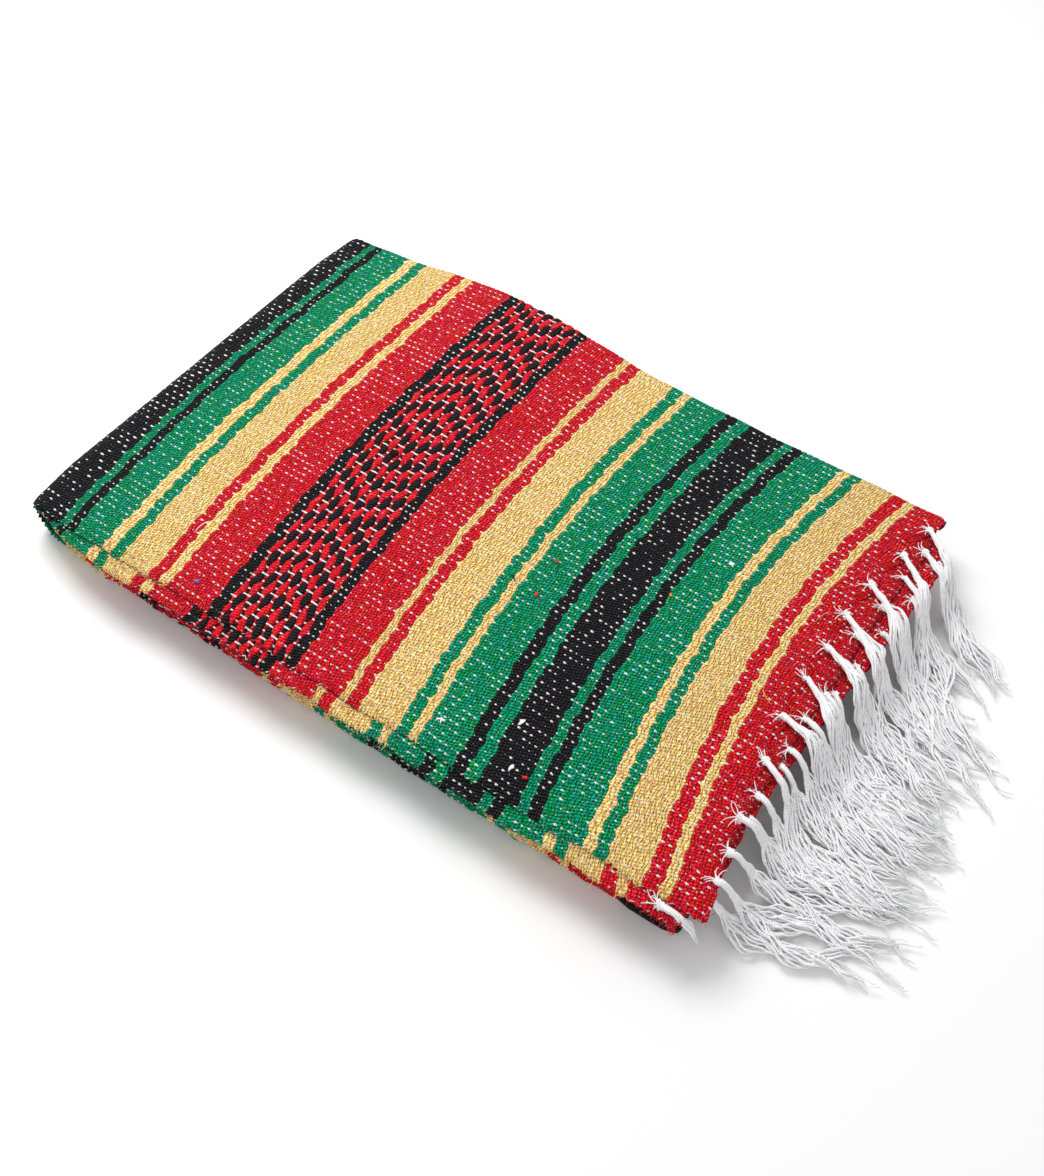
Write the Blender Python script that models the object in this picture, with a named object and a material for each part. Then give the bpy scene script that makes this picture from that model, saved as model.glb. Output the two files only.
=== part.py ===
# A woven falsa blanket, folded in four both ways and lying flat, with knotted fringe at one end.
# Sizes are in millimetres until place() turns them to metres.
# u runs along the folded length from the left fold to the fringe, v across it from the near side
# to the far side, and w up from the surface that the blanket lies on.
import math
import random

import bmesh
import bpy

# The folded blanket
END_U = 489.0  # where the top layer ends, straight, before the end is bowed
NEAR_V = -3.4  # near selvedge of the top layer
FAR_V = 328.0  # far side, where the width is folded
STACK = 34.0  # height of the sixteen layers
CLOTH = 2.0  # thickness of one layer
SEAM = 0.4  # gap between two layers
PITCH = CLOTH + SEAM
FOLD_U = 4.0  # centre of the round left fold
HALF = STACK / 2

# The stretch of each layer on the underside, and the width fold at the far side
UNDER_END_U = 446.0
ROLL = 4.4  # outer radius of the top layer's width fold
ROLL_TUCK = 3.0

# The second layer sticks out on the near side and, towards the far corner, at the end
SECOND_NEAR_V = -13.5
SECOND_FAR_V = 320.0
SECOND_STEP = 24.0
SECOND_STEP_OVER = 190.0
SECOND_STEP_BACK = 10.0
SECOND_BACK_FROM = 250.0
SECOND_BACK_OVER = 90.0

# How far each near selvedge has drawn back by the time it reaches the underside
TOP_DRAW_BACK = 4.4
SECOND_DRAW_BACK = 10.0
CORE_DRAW_BACK = 6.5

# The middle fold of the length, low at the right end
MIDDLE_FOLD_U = 475.0
MIDDLE_FOLD_RADIUS = 8.4

# Where the diamond bands lie over each other the stack is thicker and reaches further back
BAND_U = 150.0
BAND_SPREAD = 96.0
BAND_RISE = 0.19
BAND_REACH = 10.0
BAND_REACH_FROM_V = 180.0
BAND_REACH_OVER = 130.0
BAND_NEAR_SHARE = 0.3  # of the rise, on the near side
BAND_RISE_FROM_V = 60.0
BAND_RISE_OVER = 230.0

# The lower layers bulge a little along the near side and draw in at the near left corner
NEAR_BULGE = 3.0
CORNER_DRAW_IN = 5.0
CORNER_OVER = 50.0
NEAR_FROM_V = -12.0  # what happens on the near side fades out from here
NEAR_OVER = 60.0
LEFT_CORNERS = 4.0  # the left fold draws in at its two ends
FAR_CORNER_FROM_V = 285.0
FAR_CORNER_OVER = 50.0

# The fringed end is bowed inwards
END_BOW = 18.0
END_SLANT = 4.0
BOW_START_U = 300.0
BOW_FULL_U = 460.0
BOW_FROM_V = -12.0
BOW_TO_V = 333.0

# The row frame's origin, at the centre of the underside
CENTRE_U = 243.0
CENTRE_V = 162.0

# Near side of the core: depth below the outer face, and v there.
# Two folded pairs come first and then two cut edges, on either side of the middle.
CORE_DEPTH = 4.8
NEAR_LAYERS = (
    {"depth": 4.8, "v": -4.0},
    {"depth": 5.4, "v": -9.0},
    {"depth": 6.9, "v": -10.6},
    {"depth": 8.4, "v": -9.0},
    {"depth": 9.1, "v": -5.0},
    {"depth": 9.8, "v": -8.6},
    {"depth": 11.2, "v": -10.2},
    {"depth": 12.6, "v": -8.6},
    {"depth": 13.2, "v": -5.0},
    {"depth": 13.7, "v": -8.4},
    {"depth": 14.8, "v": -8.8},
    {"depth": 15.2, "v": -5.4},
    {"depth": 15.7, "v": -8.0},
    {"depth": 16.6, "v": -8.2},
)
# Far side of the core: two width folds, one above the other.
FAR_LAYERS = (
    {"depth": 4.8, "v": 315.0},
    {"depth": 9.3, "v": 316.5},
    {"depth": 9.5, "v": 321.0},
    {"depth": 10.7, "v": 325.2},
    {"depth": 13.0, "v": 327.0},
    {"depth": 15.3, "v": 325.2},
    {"depth": 16.5, "v": 320.0},
)
BODY_STATIONS = 10  # rows of points across the core between its two sides
BODY_FROM_V = 12.0
BODY_SHORT = 18.0  # the last of them is this far from the far side

# The core seen from the near side: its top and its rest on the surface
CORE_TOP_END_U = 474.0
UNDER_GAP = 2.5  # from the underside's end to the core's own under face
STEP_DOWN_GAP = 6.0  # from there to where the core rests on the surface
REST_SHORT = 8.0  # that rest ends this far from the middle fold's centre
FOOT_SHORT = 9.0  # and so does the line that the core narrows towards
CUT_ENDS = ((471.5, 18.2), (475.6, 20.0), (476.4, 24.0), (475.6, 28.0))  # u and w

# How many steps each stretch is divided in
TOP_STEPS = 13
FOLD_STEPS = 9
UNDER_STEPS = 8
TOP_ACROSS_STEPS = 14
ROLL_STEPS = 6
SECOND_ACROSS_STEPS = 26
CORE_TOP_STEPS = 14
CORE_FOLD_STEPS = 8
CORE_UNDER_STEPS = 12
MIDDLE_FOLD_STEPS = 6

# Fringe rows: where the strip starts, its height above the surface, where the strands come to lie,
# how far out they start to fall and have fallen, whether they first lie over the second layer's
# step, whether the strip itself follows that step, and where the knots are.
FRINGE_ROWS = (
    {"node": "fringe_top", "u": END_U, "w": 33.0, "rest_w": 6.9, "fall": (12.0, 58.0), "over": 1.0,
     "step": 0.0, "knots": 10, "first_v": 21.0, "last_v": 309.0, "length": (104.0, 120.0), "seed": 3},
    {"node": "fringe_second", "u": END_U, "w": 30.6, "rest_w": 4.2, "fall": (2.0, 44.0), "over": 0.0,
     "step": 1.0, "knots": 11, "first_v": -2.0, "last_v": 292.0, "length": (96.0, 110.0), "seed": 5},
    {"node": "fringe_lower", "u": 477.2, "w": 24.2, "rest_w": 1.7, "fall": (3.0, 38.0), "over": 0.0,
     "step": 0.0, "knots": 8, "first_v": 15.0, "last_v": 298.0, "length": (80.0, 98.0), "seed": 8},
)
STRIP_GAP = 0.6  # from a layer's end to its fringe strip
STRIP_PAST_KNOT = 8.0
STRIP_DEPTH = 2.0
STRIP_HALF_HEIGHT = 0.8
STRANDS_A_KNOT = 3
STRAND_SPACING = 3.6
ROOT_WIDTH = 2.6
STRAND_STEPS = 6
STRAND_SECTIONS = (  # width and height of a strand from just past its root to its tip
    {"width": 2.9, "height": 2.0},
    {"width": 2.4, "height": 1.7},
    {"width": 3.2, "height": 1.9},
    {"width": 3.2, "height": 1.9},
    {"width": 2.6, "height": 1.6},
    {"width": 0.9, "height": 0.8},
)
FAN = 1.5  # a knot's strands end this many times their root spacing further apart
# The fringe is gathered: far strands are swept to the near side and near ones a little the other way
SWEEP_FROM = 53.0
SWEEP = 0.373
SWEEP_OVER = 92.0
SWEEP_GAIN = 1.13
TURN_STEPS = 2.2  # steps over which a strand turns to its heading
TURN_LAG = 0.3  # and how late in its first step it begins to
FAR_SHORTER = 14.0  # the far corner's strands reach less far
FAR_SHORTER_FROM = 200.0
FAR_SHORTER_OVER = 100.0

MM = 0.001


def smooth(t):
    t = min(max(t, 0.0), 1.0)
    return t * t * (3.0 - 2.0 * t)


def mix(a, b, t):
    return a + (b - a) * t


def second_step(v):
    """How far the second layer's end lies past the top layer's."""
    out = SECOND_STEP * smooth(v / SECOND_STEP_OVER)
    return out - SECOND_STEP_BACK * smooth((v - SECOND_BACK_FROM) / SECOND_BACK_OVER)


def place(u, v, w):
    """A point of the flat-folded blanket, settled as it lies, in metres in the row frame."""
    over_band = math.exp(-(((u - BAND_U) / BAND_SPREAD) ** 2))
    at_near = 1.0 - smooth((v - NEAR_FROM_V) / NEAR_OVER)
    at_left = 1.0 - smooth((u + HALF) / CORNER_OVER)
    low = 1.0 - smooth((w - HALF) / HALF)
    along_end = (min(max(v, BOW_FROM_V), BOW_TO_V) - BOW_FROM_V) / (BOW_TO_V - BOW_FROM_V)
    bow = END_BOW * math.sin(math.pi * along_end) ** 2
    bow += END_SLANT * v / FAR_V
    x = u - bow * smooth((u - BOW_START_U) / (BOW_FULL_U - BOW_START_U)) - CENTRE_U
    at_far = smooth((v - FAR_CORNER_FROM_V) / FAR_CORNER_OVER)
    x += LEFT_CORNERS * at_left * (at_near + at_far)
    reach = BAND_REACH * over_band * smooth((v - BAND_REACH_FROM_V) / BAND_REACH_OVER)
    y = v + reach - CENTRE_V
    bulge = NEAR_BULGE * math.sin(math.pi * min(max(u / END_U, 0.0), 1.0))
    y += at_near * low * (CORNER_DRAW_IN * at_left - bulge)
    share = mix(BAND_NEAR_SHARE, 1.0, smooth((v - BAND_RISE_FROM_V) / BAND_RISE_OVER))
    z = w * (1.0 + BAND_RISE * over_band * share)
    return (x * MM, y * MM, z * MM)


def material(name, colour, roughness):
    made = bpy.data.materials.new(name)
    made.use_nodes = True
    shader = made.node_tree.nodes["Principled BSDF"]
    shader.inputs["Base Color"].default_value = (*colour, 1.0)
    shader.inputs["Roughness"].default_value = roughness
    shader.inputs["Metallic"].default_value = 0.0
    return made


def add_object(name, bm, finish):
    bmesh.ops.recalc_face_normals(bm, faces=bm.faces)
    mesh = bpy.data.meshes.new(name)
    bm.to_mesh(mesh)
    bm.free()
    mesh.materials.append(finish)
    mesh.shade_smooth()
    made = bpy.data.objects.new(name, mesh)
    bpy.context.collection.objects.link(made)
    return made


def wall_stations():
    """Stations along a layer, from its fringed end over the top, round the left fold and under."""
    along_top = [
        {"to_end": 1.0 - i / TOP_STEPS, "angle": 90.0, "under": 0.0} for i in range(TOP_STEPS)
    ]
    round_fold = [
        {"to_end": 0.0, "angle": 90.0 + 180.0 * i / FOLD_STEPS, "under": i / FOLD_STEPS}
        for i in range(FOLD_STEPS + 1)
    ]
    along_under = [
        {"to_end": (i + 1) / UNDER_STEPS, "angle": 270.0, "under": 1.0} for i in range(UNDER_STEPS)
    ]
    return along_top + round_fold + along_under


def wall_point(station, depth, v, end_u):
    radius = HALF - depth
    angle = math.radians(station["angle"])
    last = end_u(v) if station["angle"] == 90.0 else UNDER_END_U
    u = mix(FOLD_U, last, station["to_end"])
    return place(u + radius * math.cos(angle), v, HALF + radius * math.sin(angle))


def layer_wall(name, end_u, depth, across, finish):
    """A cloth wall: a sheet of points with a thickness that goes inwards from its outer face."""
    bm = bmesh.new()
    rows = [
        [bm.verts.new(wall_point(station, depth + down, v, end_u)) for down, v in across(station)]
        for station in wall_stations()
    ]
    for one, two in zip(rows, rows[1:]):
        for i in range(len(one) - 1):
            bm.faces.new((one[i], two[i], two[i + 1], one[i + 1]))
    mesh = bpy.data.meshes.new(name)
    bm.to_mesh(mesh)
    bm.free()
    mesh.materials.append(finish)
    mesh.shade_smooth()
    made = bpy.data.objects.new(name, mesh)
    bpy.context.collection.objects.link(made)
    wall = made.modifiers.new("cloth thickness", "SOLIDIFY")
    wall.thickness = CLOTH * MM
    wall.offset = 1.0
    wall.use_even_offset = True
    return made


def top_across(station):
    """From the near selvedge to the far side, then over the width fold and a little way back."""
    near = NEAR_V + TOP_DRAW_BACK * station["under"]
    turn = FAR_V - ROLL
    flat = [(0.0, mix(near, turn, i / TOP_ACROSS_STEPS)) for i in range(TOP_ACROSS_STEPS + 1)]
    roll = [
        (ROLL * (1.0 - math.cos(a)), turn + ROLL * math.sin(a))
        for a in (math.pi * i / ROLL_STEPS for i in range(1, ROLL_STEPS + 1))
    ]
    return flat + roll + [(2.0 * ROLL, turn - ROLL_TUCK)]


def second_across(station):
    near = SECOND_NEAR_V + SECOND_DRAW_BACK * station["under"]
    steps = SECOND_ACROSS_STEPS
    return [(0.0, mix(near, SECOND_FAR_V, i / steps)) for i in range(steps + 1)]


def core_outline():
    """The core's outline along the length, one way round, each point with its foot on the middle."""
    top, under = STACK - CORE_DEPTH, CORE_DEPTH
    radius = HALF - CORE_DEPTH
    foot_end = MIDDLE_FOLD_U - FOOT_SHORT
    along_top = [
        (mix(CORE_TOP_END_U, FOLD_U, i / CORE_TOP_STEPS), top) for i in range(CORE_TOP_STEPS)
    ]
    round_fold = [
        (FOLD_U + radius * math.cos(a), HALF + radius * math.sin(a))
        for a in (
            math.radians(90.0 + 180.0 * i / CORE_FOLD_STEPS) for i in range(CORE_FOLD_STEPS + 1)
        )
    ]
    along_under = [
        (mix(FOLD_U, UNDER_END_U + UNDER_GAP, (i + 1) / CORE_UNDER_STEPS), under)
        for i in range(CORE_UNDER_STEPS)
    ]
    step_down = [(UNDER_END_U + STEP_DOWN_GAP, 0.0), (MIDDLE_FOLD_U - REST_SHORT, 0.0)]
    middle_fold = [
        (
            MIDDLE_FOLD_U + MIDDLE_FOLD_RADIUS * math.cos(a),
            MIDDLE_FOLD_RADIUS * (1.0 + math.sin(a)),
        )
        for a in (
            math.radians(-90.0 + 180.0 * i / MIDDLE_FOLD_STEPS)
            for i in range(MIDDLE_FOLD_STEPS + 1)
        )
    ]
    points = along_top + round_fold + along_under + step_down + middle_fold + list(CUT_ENDS)
    return [
        {"at": (u, w), "foot": (min(max(u, FOLD_U), foot_end), HALF)} for u, w in points
    ]


def core_ring(bm, outline, depth, v, draws_back):
    """One ring of the core: its outline drawn in towards the middle, at one v."""
    share = (HALF - depth) / (HALF - CORE_DEPTH)
    ring = []
    for point in outline:
        u = mix(point["foot"][0], point["at"][0], share)
        w = mix(point["foot"][1], point["at"][1], share)
        back = CORE_DRAW_BACK * (1.0 - w / STACK) if draws_back else 0.0
        ring.append(bm.verts.new(place(u, v + back, w)))
    return ring


def folded_core(finish):
    bm = bmesh.new()
    outline = core_outline()
    rings = [
        core_ring(bm, outline, row["depth"], row["v"], True) for row in reversed(NEAR_LAYERS)
    ]
    first, last = BODY_FROM_V, FAR_LAYERS[0]["v"] - BODY_SHORT
    for i in range(BODY_STATIONS):
        v = mix(first, last, i / (BODY_STATIONS - 1))
        rings.append(core_ring(bm, outline, CORE_DEPTH, v, False))
    rings += [core_ring(bm, outline, row["depth"], row["v"], False) for row in FAR_LAYERS]
    for one, two in zip(rings, rings[1:]):
        for i in range(len(outline)):
            j = (i + 1) % len(outline)
            bm.faces.new((one[i], one[j], two[j], two[i]))
    bm.faces.new(rings[0])
    bm.faces.new(rings[-1])
    # its large faces are slightly twisted, so how each is divided is settled here
    bmesh.ops.triangulate(bm, faces=bm.faces, quad_method="SHORT_EDGE", ngon_method="BEAUTY")
    return add_object("folded_core", bm, finish)


def root_slots(row):
    """Along a fringe strip: each strand's place, and whether the stretch holds a strand or a gap."""
    slots = []
    for knot in range(row["knots"]):
        middle = mix(row["first_v"], row["last_v"], knot / (row["knots"] - 1))
        for strand in range(STRANDS_A_KNOT):
            off = (strand - (STRANDS_A_KNOT - 1) / 2) * STRAND_SPACING
            slots.append({"v": middle + off, "knot_v": middle, "off": off})
    return slots


def strip_end(row, v):
    return row["u"] + row["step"] * second_step(v)


def strand_path(row, slot, length):
    """Points of one strand: out from the strip, down, and along in a sweep to the near side."""
    heading_end = SWEEP_GAIN * math.atan((SWEEP_FROM - SWEEP * slot["knot_v"]) / SWEEP_OVER)
    u, v = strip_end(row, slot["v"]) + STRIP_GAP + STRIP_DEPTH, slot["v"]
    step = length / STRAND_STEPS
    start, stop = (fall + row["over"] * second_step(slot["v"]) for fall in row["fall"])
    points = []
    for i in range(1, STRAND_STEPS + 1):
        heading = heading_end * smooth((i - TURN_LAG) / TURN_STEPS)
        u += step * math.cos(heading)
        v += step * math.sin(heading) + slot["off"] * FAN / STRAND_STEPS
        w = mix(row["w"], row["rest_w"], smooth((i * step - start) / (stop - start)))
        points.append({"at": (u, v, w), "heading": heading})
    return points


def fringe(row, finish):
    """A narrow strip along a layer's end, with the strands extruded out of its outer face."""
    rng = random.Random(row["seed"])
    bm = bmesh.new()
    slots = root_slots(row)
    cuts = [slots[0]["v"] - STRIP_PAST_KNOT]
    for slot in slots:
        cuts += [slot["v"] - ROOT_WIDTH / 2, slot["v"] + ROOT_WIDTH / 2]
    cuts.append(slots[-1]["v"] + STRIP_PAST_KNOT)
    inner, outer = STRIP_GAP, STRIP_GAP + STRIP_DEPTH
    low, high = row["w"] - STRIP_HALF_HEIGHT, row["w"] + STRIP_HALF_HEIGHT
    corners = ((inner, low), (outer, low), (outer, high), (inner, high))
    rings = [
        [bm.verts.new(place(strip_end(row, v) + out, v, w)) for out, w in corners] for v in cuts
    ]
    fronts = []
    for one, two in zip(rings, rings[1:]):
        for i in range(4):
            j = (i + 1) % 4
            face = bm.faces.new((one[i], one[j], two[j], two[i]))
            if i == 1:
                fronts.append(face)
    bm.faces.new(rings[0])
    bm.faces.new(rings[-1])
    for slot, face in zip(slots, fronts[1::2]):
        length = rng.uniform(*row["length"]) - row["step"] * second_step(slot["v"])
        length -= FAR_SHORTER * smooth((slot["v"] - FAR_SHORTER_FROM) / FAR_SHORTER_OVER)
        for point, section in zip(strand_path(row, slot, length), STRAND_SECTIONS):
            grown = bmesh.ops.extrude_discrete_faces(bm, faces=[face])
            face = grown["faces"][0]
            u, v, w = point["at"]
            wide = section["width"] / 2
            tall = section["height"] / 2
            across = (-math.sin(point["heading"]), math.cos(point["heading"]))
            # The face runs low near, high near, high far, low far.
            around = ((-1, -1), (-1, 1), (1, 1), (1, -1))
            for loop, (side, up) in zip(face.loops, around):
                loop.vert.co = place(
                    u + across[0] * wide * side, v + across[1] * wide * side, w + tall * up
                )
    return add_object(row["node"], bm, finish)


for old in list(bpy.data.objects):
    bpy.data.objects.remove(old)

green_cloth = material("top layer cloth", (0.02, 0.32, 0.13), 0.95)
yellow_cloth = material("second layer cloth", (0.86, 0.55, 0.13), 0.95)
red_cloth = material("inner layers cloth", (0.60, 0.02, 0.03), 0.95)
white_yarn = material("undyed warp yarn", (0.80, 0.80, 0.82), 0.9)

layer_wall("top_layer", lambda v: END_U, 0.0, top_across, green_cloth)
layer_wall("second_layer", lambda v: END_U + second_step(v), PITCH, second_across, yellow_cloth)
folded_core(red_cloth)
for fringe_row in FRINGE_ROWS:
    fringe(fringe_row, white_yarn)
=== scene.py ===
import math
import random

import bpy
import numpy as np
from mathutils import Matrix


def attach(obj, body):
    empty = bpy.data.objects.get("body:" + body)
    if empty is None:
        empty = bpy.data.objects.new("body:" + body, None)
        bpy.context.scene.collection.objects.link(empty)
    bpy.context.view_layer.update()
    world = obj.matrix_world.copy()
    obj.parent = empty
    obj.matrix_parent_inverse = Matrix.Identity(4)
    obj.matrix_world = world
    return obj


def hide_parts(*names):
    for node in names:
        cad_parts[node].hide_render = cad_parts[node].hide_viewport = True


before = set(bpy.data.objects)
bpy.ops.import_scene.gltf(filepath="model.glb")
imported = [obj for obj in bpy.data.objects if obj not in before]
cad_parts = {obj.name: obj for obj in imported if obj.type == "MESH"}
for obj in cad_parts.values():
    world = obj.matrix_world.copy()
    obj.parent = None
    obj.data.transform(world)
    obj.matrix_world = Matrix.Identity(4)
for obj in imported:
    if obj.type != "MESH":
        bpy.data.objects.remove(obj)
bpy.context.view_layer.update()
print("frame:", len(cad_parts), "solids")

mm = 0.001  # in metres

camera = {
    "at": (0.30652, -0.43497, 0.65939),
    "tilt": 36.868,
    "roll": -1.129,
    "turn": 34.282,
    "lens": 38.945,
    "sensor": 36.0,
}

cameraData = bpy.data.cameras.new("camera")
cameraData.lens = camera["lens"]
cameraData.sensor_width = camera["sensor"]
cameraObject = bpy.data.objects.new("camera", cameraData)
cameraObject.location = camera["at"]
cameraObject.rotation_euler = [math.radians(camera[part]) for part in ("tilt", "roll", "turn")]
bpy.context.collection.objects.link(cameraObject)
bpy.context.scene.camera = cameraObject

# How the blanket lies
lie = {
    "height": 34.0,
    "foldU": 4.0,  # centre of the round left fold
    "endU": 489.0,
    "farV": 328.0,
    "centreU": 243.0,  # the frame's origin
    "centreV": 162.0,
    "bandU": 150.0,  # where the diamond bands lie over each other the stack is thicker
    "bandSpread": 96.0,
    "bandRise": 0.19,
    "bandNearShare": 0.3,  # of that rise, on the near side
    "bandRiseFromV": 60.0,
    "bandRiseOver": 230.0,
    "bandReach": 10.0,  # and the far side reaches out
    "bandReachFromV": 180.0,
    "bandReachOver": 130.0,
    "nearBulge": 3.0,
    "nearFromV": -12.0,  # what happens on the near side fades out from here
    "nearOver": 60.0,
    "cornerDrawIn": 5.0,
    "cornerOver": 50.0,
    "leftCorners": 4.0,  # the left fold draws in at its two ends
    "farCornerFromV": 285.0,
    "farCornerOver": 50.0,
    "endBow": 18.0,
    "endSlant": 4.0,
    "bowStart": 300.0,
    "bowFull": 460.0,
    "bowFromV": -12.0,
    "bowToV": 333.0,
}
half = lie["height"] / 2


def smooth(t):
    t = np.clip(t, 0.0, 1.0)
    return t * t * (3.0 - 2.0 * t)


def bowShare(u):
    return smooth((u - lie["bowStart"]) / (lie["bowFull"] - lie["bowStart"]))


def bowAt(v):
    first, last = lie["bowFromV"], lie["bowToV"]
    across = np.pi * (np.clip(v, first, last) - first) / (last - first)
    return lie["endBow"] * np.sin(across) ** 2 + lie["endSlant"] * v / lie["farV"]


def unbow(x, v):
    # the straight u of a point that the bowed end has carried to x
    u = x + 0.0
    for _ in range(5):
        u = x + bowAt(v) * bowShare(u)
    return u


def settle(u, v, w):
    u, v, w = np.broadcast_arrays(*(np.asarray(a, float) for a in (u, v, w)))
    overBand = np.exp(-(((u - lie["bandU"]) / lie["bandSpread"]) ** 2))
    atNear = 1.0 - smooth((v - lie["nearFromV"]) / lie["nearOver"])
    atFarCorner = smooth((v - lie["farCornerFromV"]) / lie["farCornerOver"])
    atFar = smooth((v - lie["bandReachFromV"]) / lie["bandReachOver"])
    risen = smooth((v - lie["bandRiseFromV"]) / lie["bandRiseOver"])
    atLeft = 1.0 - smooth((u + half) / lie["cornerOver"])
    low = 1.0 - smooth((w - half) / half)
    x = u - bowAt(v) * bowShare(u) - lie["centreU"]
    x = x + lie["leftCorners"] * atLeft * (atNear + atFarCorner)
    bulge = lie["nearBulge"] * np.sin(np.pi * np.clip(u / lie["endU"], 0.0, 1.0))
    y = v + lie["bandReach"] * overBand * atFar - lie["centreV"]
    y = y + atNear * low * (lie["cornerDrawIn"] * atLeft - bulge)
    riseShare = lie["bandNearShare"] + (1.0 - lie["bandNearShare"]) * risen
    z = w * (1.0 + lie["bandRise"] * overBand * riseShare)
    return np.stack([x, y, z], -1) * mm


# The weave. Stripes from the fringed end inwards, each with its picks and how wide they are beaten.
weave = {
    "warp": 4.7,  # between two warps
    "pick": 2.04,  # between two picks, where no stripe says otherwise
    "stripes": (
        (10, 18.9), (3, 6.0), (4, 8.9), (13, 22.3), (4, 7.1), (3, 6.8), (13, 26.6), (4, 7.1),
        (4, 6.4), (12, 23.9), (4, 8.8), (4, 8.2), (13, 26.5), (3, 6.1), (4, 8.1), (13, 26.7),
        (4, 8.5), (3, 5.0), (16, 32.6), (4, 7.1), (26, 53.3), (4, 7.8), (16, 31.9), (3, 7.1),
        (4, 8.2), (13, 24.1), (4, 7.8), (3, 7.9), (13, 24.1), (4, 6.4), (4, 6.0), (12, 35.0),
    ),
    "blackPick": 64,  # the middle of a black stripe, where the pattern turns back on itself
    "turn": 87,  # picks from there to the middle of the diamond band
    "bandFrom": 74,
    "endX": 469.0,  # where the top layer ends at mid width
    "rowPicks": 1.74,  # a row of the diamond band is doubled picks
    "diamondWarp": 42,  # a warp that runs through the middle of a diamond
    "diamondHalf": 20,  # warps from there to the next crossing
    "lace": 0.23,  # how far neighbouring picks bulge into each other
    "bandLace": 0.38,
    "pickRise": 0.34,  # how high a pick stands
    "overRise": 0.13,  # and how much more where it lies over a warp
    "rowRise": 0.55,
    "rowLift": 0.3,
    # x, and how far the picks lean towards the fringe at each side
    "leanNear": ((-60, 12), (12, 12.5), (140, 14), (237, 16), (335, 15.5), (400, 19), (469, 23)),
    "leanFar": ((0, 1.5), (50, 2), (140, 4), (237, 5), (335, 10), (400, 16), (469, 18)),
    "straightV": 185.0,  # where they don't lean
    "leanFarOver": 140.0,
    "leanPower": 1.9,
    "leanFadeFrom": 60.0,  # past the left fold they straighten
    "leanFadeOver": 380.0,
    # waves in the picks: their reach, turn by v, start, and turn by x
    "wander": (
        (0.42, 0.163, 0.0, 0.054), (0.38, 0.271, 1.7, -0.034), (0.26, 0.446, 0.4, 0.11), (0.22, 0.73, 0.0, 0.06),
    ),
}


def pickX(s):
    # where pick s lies along the blanket at mid width
    picks = np.cumsum([0] + [count for count, _ in weave["stripes"]])
    widths = weave["endX"] - np.cumsum([0.0] + [wide for _, wide in weave["stripes"]])
    past = widths[-1] - (s - picks[-1]) * weave["pick"]
    before = weave["endX"] - s * weave["pick"]
    return np.where(s > picks[-1], past, np.where(s < 0, before, np.interp(s, picks, widths)))


def stripeLean(x, v):
    # the picks lean towards the fringe at both sides, and wander a little
    near = np.interp(x, *zip(*weave["leanNear"]))
    far = np.interp(x, *zip(*weave["leanFar"]))
    straight, power = weave["straightV"], weave["leanPower"]
    lean = near * np.clip(1.0 - v / straight, 0.0, 2.0) ** power
    lean = lean + far * np.clip((v - straight) / weave["leanFarOver"], 0.0, 2.0) ** power
    wander = sum(reach * np.sin(v * byV + start + x * byX) for reach, byV, start, byX in weave["wander"])
    return lean + wander


def leanFade(x):
    return 1.0 - smooth((-x - weave["leanFadeFrom"]) / weave["leanFadeOver"])


def pingpong(x, top):
    x = np.mod(x, 2.0 * top)
    return np.where(x > top, 2.0 * top - x, x)


def weaveRelief(k, s):
    # height of the yarns in millimetres at warp k and pick s
    inLaced = s - weave["lace"] * np.cos(np.pi * k) * np.cos(np.pi * s)
    pick = np.floor(inLaced)
    over = -np.cos(np.pi * k) * np.cos(np.pi * pick)
    plain = weave["pickRise"] * np.sin(np.pi * (inLaced - pick)) ** 0.7 + weave["overRise"] * over
    fromBlack = pingpong(s - weave["blackPick"], weave["turn"])
    row = (weave["turn"] - fromBlack) / weave["rowPicks"]
    cell = np.floor(row)
    ring = np.floor(cell / 2)
    diamond = pingpong(k - weave["diamondWarp"], weave["diamondHalf"])
    angle = 0.5 * np.pi * (diamond + ring - 0.5)
    outerOdd = np.where(np.mod(cell, 2) < 1, np.cos(angle), 0.5 * (np.sin(angle) - np.cos(angle)))
    edge = cell + 0.5 + weave["bandLace"] * outerOdd
    this = cell + (row > edge)
    red = np.mod(this, 2)
    lift = np.cos(0.5 * np.pi * (diamond + np.floor(this / 2) - 0.5)) * np.where(red > 0.5, -1.4, 1.4)
    rounded = np.clip(np.abs(row - edge) * 2.2, 0, 1) ** 0.6
    band = weave["rowRise"] * rounded + weave["rowLift"] * np.clip(lift, -1, 1)
    return np.where(fromBlack > weave["bandFrom"], band, plain)


def gridPiece(name, points, warps, picks, finish, rowShift=None):
    # a sheet of quads whose own map holds the warp and pick of each point
    columns, rows = points.shape[:2]
    at = np.arange(columns * rows).reshape(columns, rows)
    quads = np.stack([at[:-1, :-1], at[:-1, 1:], at[1:, 1:], at[1:, :-1]], -1).reshape(-1, 4)
    mesh = bpy.data.meshes.new(name)
    mesh.from_pydata(points.reshape(-1, 3), [], quads)
    mapped = np.stack([np.broadcast_to(warps, at.shape), np.broadcast_to(picks, at.shape)], -1)
    corners = mapped.reshape(-1, 2)[quads.reshape(-1)].reshape(columns - 1, rows - 1, 4, 2)
    if rowShift is not None:
        corners = corners + np.asarray(rowShift)[None, :, None, :]
    layer = mesh.uv_layers.new(name="warpAndPick")
    layer.data.foreach_set("uv", corners.reshape(-1).astype(np.float32))
    mesh.shade_smooth()
    mesh.materials.append(finish)
    made = bpy.data.objects.new(name, mesh)
    bpy.context.collection.objects.link(made)
    return made


def gridNormals(points):
    along = np.gradient(points, axis=0)
    across = np.gradient(points, axis=1)
    normal = np.cross(across, along)
    return normal / np.maximum(np.linalg.norm(normal, axis=-1, keepdims=True), 1e-12)


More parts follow.
